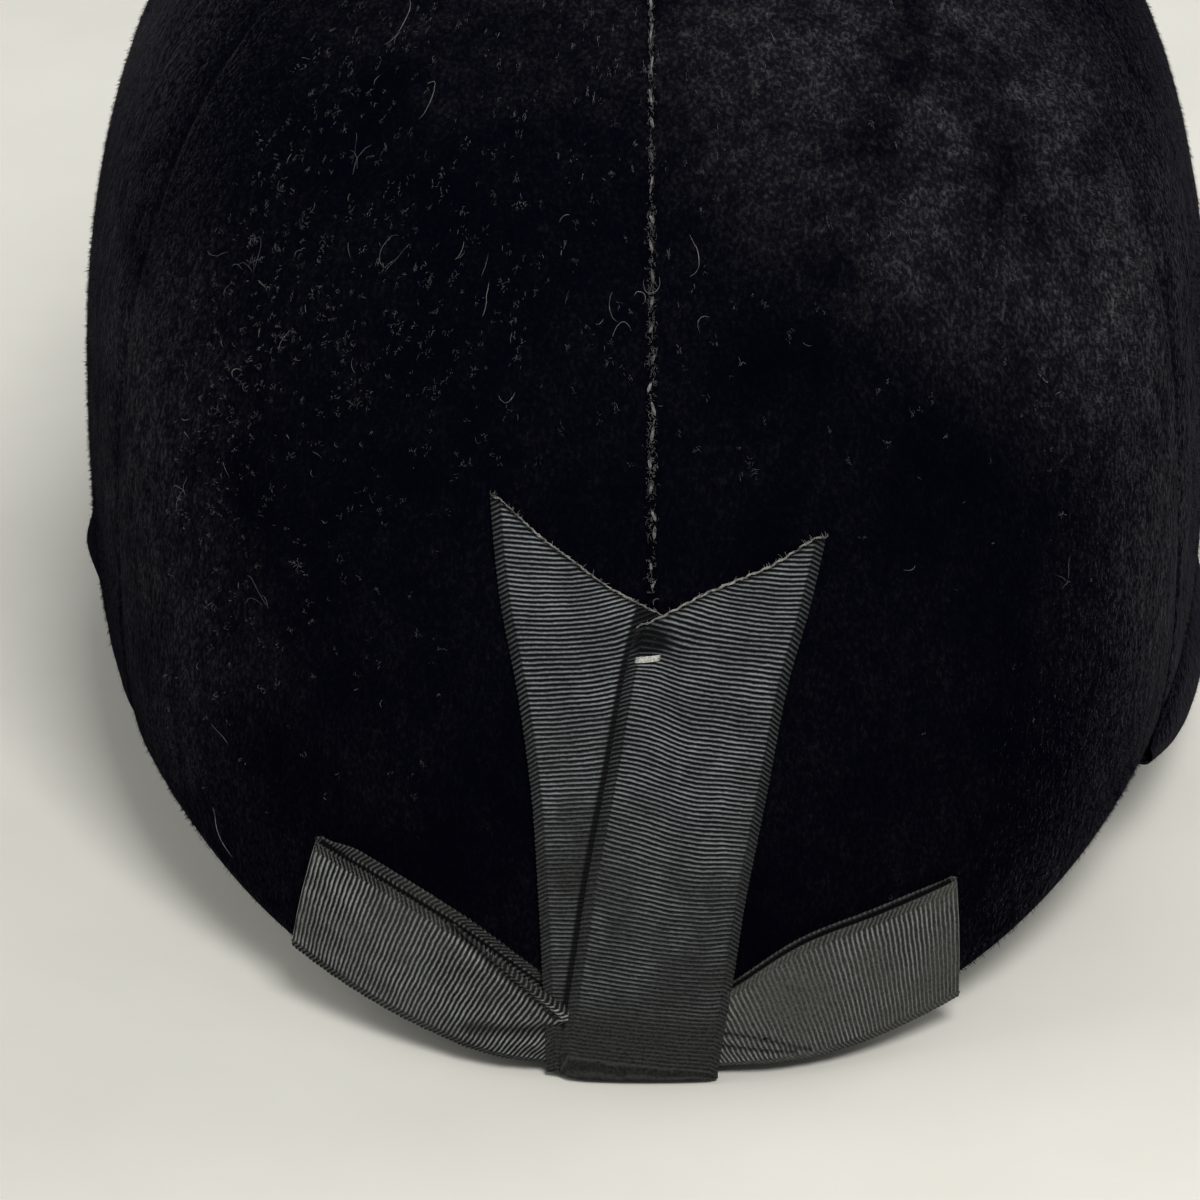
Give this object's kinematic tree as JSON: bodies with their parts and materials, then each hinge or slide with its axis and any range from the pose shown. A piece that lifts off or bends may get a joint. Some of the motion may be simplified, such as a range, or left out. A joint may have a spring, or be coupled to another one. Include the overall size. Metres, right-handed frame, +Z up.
{
  "type": "riding hat",
  "caption": "Velvet riding hat: a hollow hard shell under sewn velvet panels, with a covered button, a peak over the brow and a flat ribbon bow at the back.",
  "frame": {"origin": "middle of the hat's length and width, on the plane that the rim and the peak rest on", "axes": "+Z up through the crown, +Y towards the bow at the back, -Y towards the peak, +X towards the wearer's left"},
  "size_m": [0.2022, 0.2738, 0.1813],
  "materials": {
    "shell": "matte moulded shell",
    "velvet": "black velvet with a short brushed pile",
    "peak_lining": "smooth black leather cloth, slightly glossy",
    "grosgrain": "black ribbed ribbon with a soft sheen",
    "thread": "pale grey sewing thread"
  },
  "bodies": {
    "root": {"shell": "shell", "crown_panel_back_left": "velvet", "crown_panel_side_left": "velvet", "crown_panel_front_left": "velvet", "crown_panel_front_right": "velvet", "crown_panel_side_right": "velvet", "crown_panel_back_right": "velvet", "top_button": "velvet", "peak": "velvet", "peak_lining": "peak_lining", "bow_tail_left": "grosgrain", "bow_tail_right": "grosgrain", "bow_loop_left": "grosgrain", "bow_loop_right": "grosgrain", "bow_stitch": "thread"}
  },
  "joints": []
}
